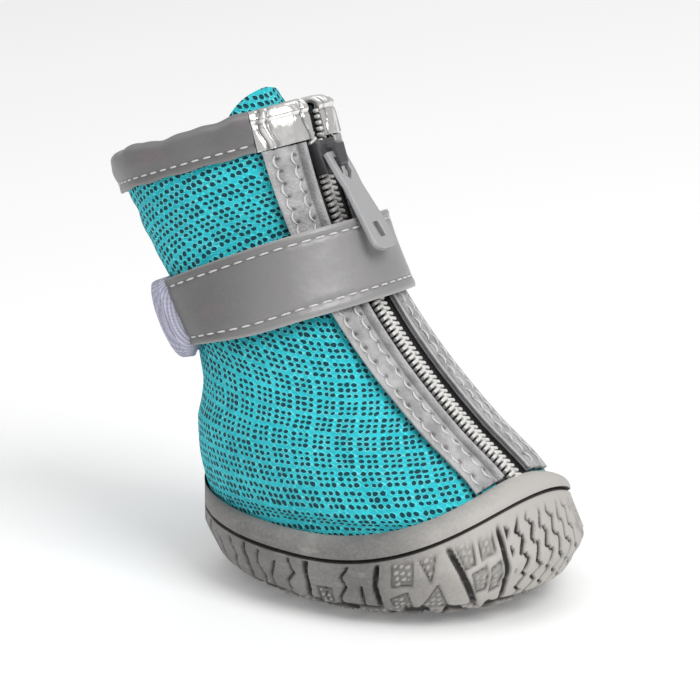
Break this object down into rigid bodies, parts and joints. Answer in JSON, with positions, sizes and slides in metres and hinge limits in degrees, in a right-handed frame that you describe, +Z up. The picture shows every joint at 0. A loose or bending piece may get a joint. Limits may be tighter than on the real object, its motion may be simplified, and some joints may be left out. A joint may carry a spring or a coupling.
{
  "type": "dog boot",
  "caption": "Small dog boot with a domed rubber cup sole, mesh upper, front zip with a hinged pull tab and a reflective strap.",
  "frame": {"origin": "on the ground plane, under the middle of the tread", "axes": "+X towards the toe, +Y towards the dog's left, +Z up"},
  "size_m": [0.0807, 0.048, 0.0735],
  "materials": {
    "sole_rubber": "matt moulded",
    "insole_foam": "brushed",
    "air_mesh": "knitted mesh",
    "facing_leather": "soft grained",
    "reflective_tape": "satin",
    "silver_foil": "glossy",
    "zip_tape": "woven",
    "zip_coil": "satin",
    "gunmetal": "gloss",
    "pull_metal": "gloss",
    "elastic": "ribbed"
  },
  "bodies": {
    "boot": {"outsole": "sole_rubber", "insole": "insole_foam", "upper": "air_mesh", "gusset": "air_mesh", "zip_tape": "zip_tape", "zip_chain": "zip_coil", "zip_facing_left": "facing_leather", "zip_facing_right": "facing_leather", "collar_binding": "reflective_tape", "collar_cap_left": "silver_foil", "collar_cap_right": "silver_foil", "strap": "reflective_tape", "elastic_back": "elastic", "zip_slider": "gunmetal"},
    "pull": {"zip_pull": "pull_metal"}
  },
  "joints": [
    {"name": "pull_swing", "type": "hinge", "parent": "boot", "child": "pull", "pos_m": [-0.0107, 0, 0.06477], "axis": [0, -1, 0], "range_deg": [0, 150]}
  ]
}
